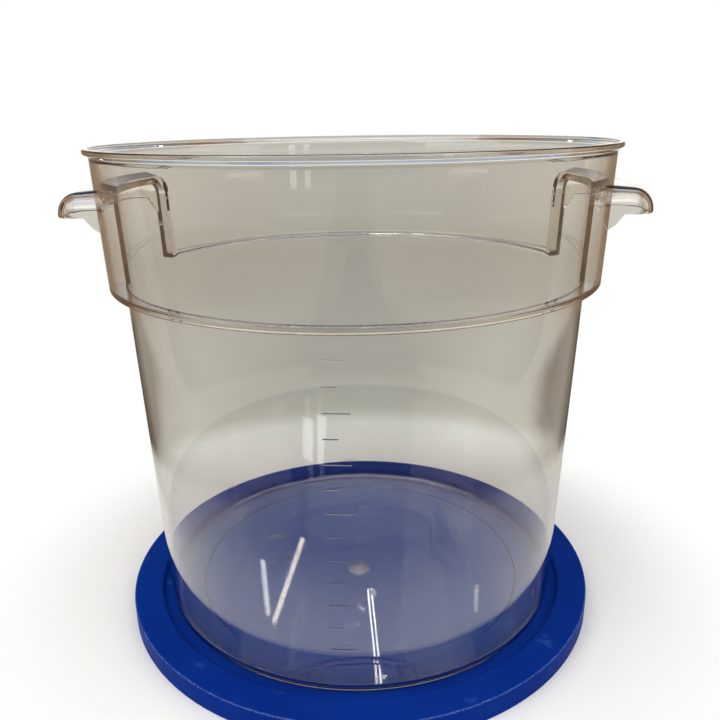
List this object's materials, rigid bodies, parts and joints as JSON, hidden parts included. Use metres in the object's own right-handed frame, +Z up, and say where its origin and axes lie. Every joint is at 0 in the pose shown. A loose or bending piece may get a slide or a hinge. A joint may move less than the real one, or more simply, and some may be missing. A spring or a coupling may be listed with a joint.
{
  "type": "round food storage container",
  "caption": "Round clear plastic food container with a stepped band, ear handles and raised capacity strokes, standing in the recess of its blue press-on lid.",
  "frame": {"origin": "where the container's axis meets the surface that the lid lies on, which is the middle of the bottom of the bounding box", "axes": "+Z up along the axis of the container and the lid; +X towards one ear handle, so the handles lie on the X axis; the capacity strokes face -Y"},
  "size_m": [0.3658, 0.3358, 0.3206],
  "materials": {
    "clear_plastic": "clear, polished",
    "blue_plastic": "satin, lightly grained"
  },
  "bodies": {
    "lid": {"lid": "blue_plastic"},
    "container": {"container": "clear_plastic"}
  },
  "joints": [
    {"name": "container_lift", "type": "slide", "parent": "lid", "child": "container", "axis": [0, 0, 1], "range_m": [0, 0.1]}
  ]
}
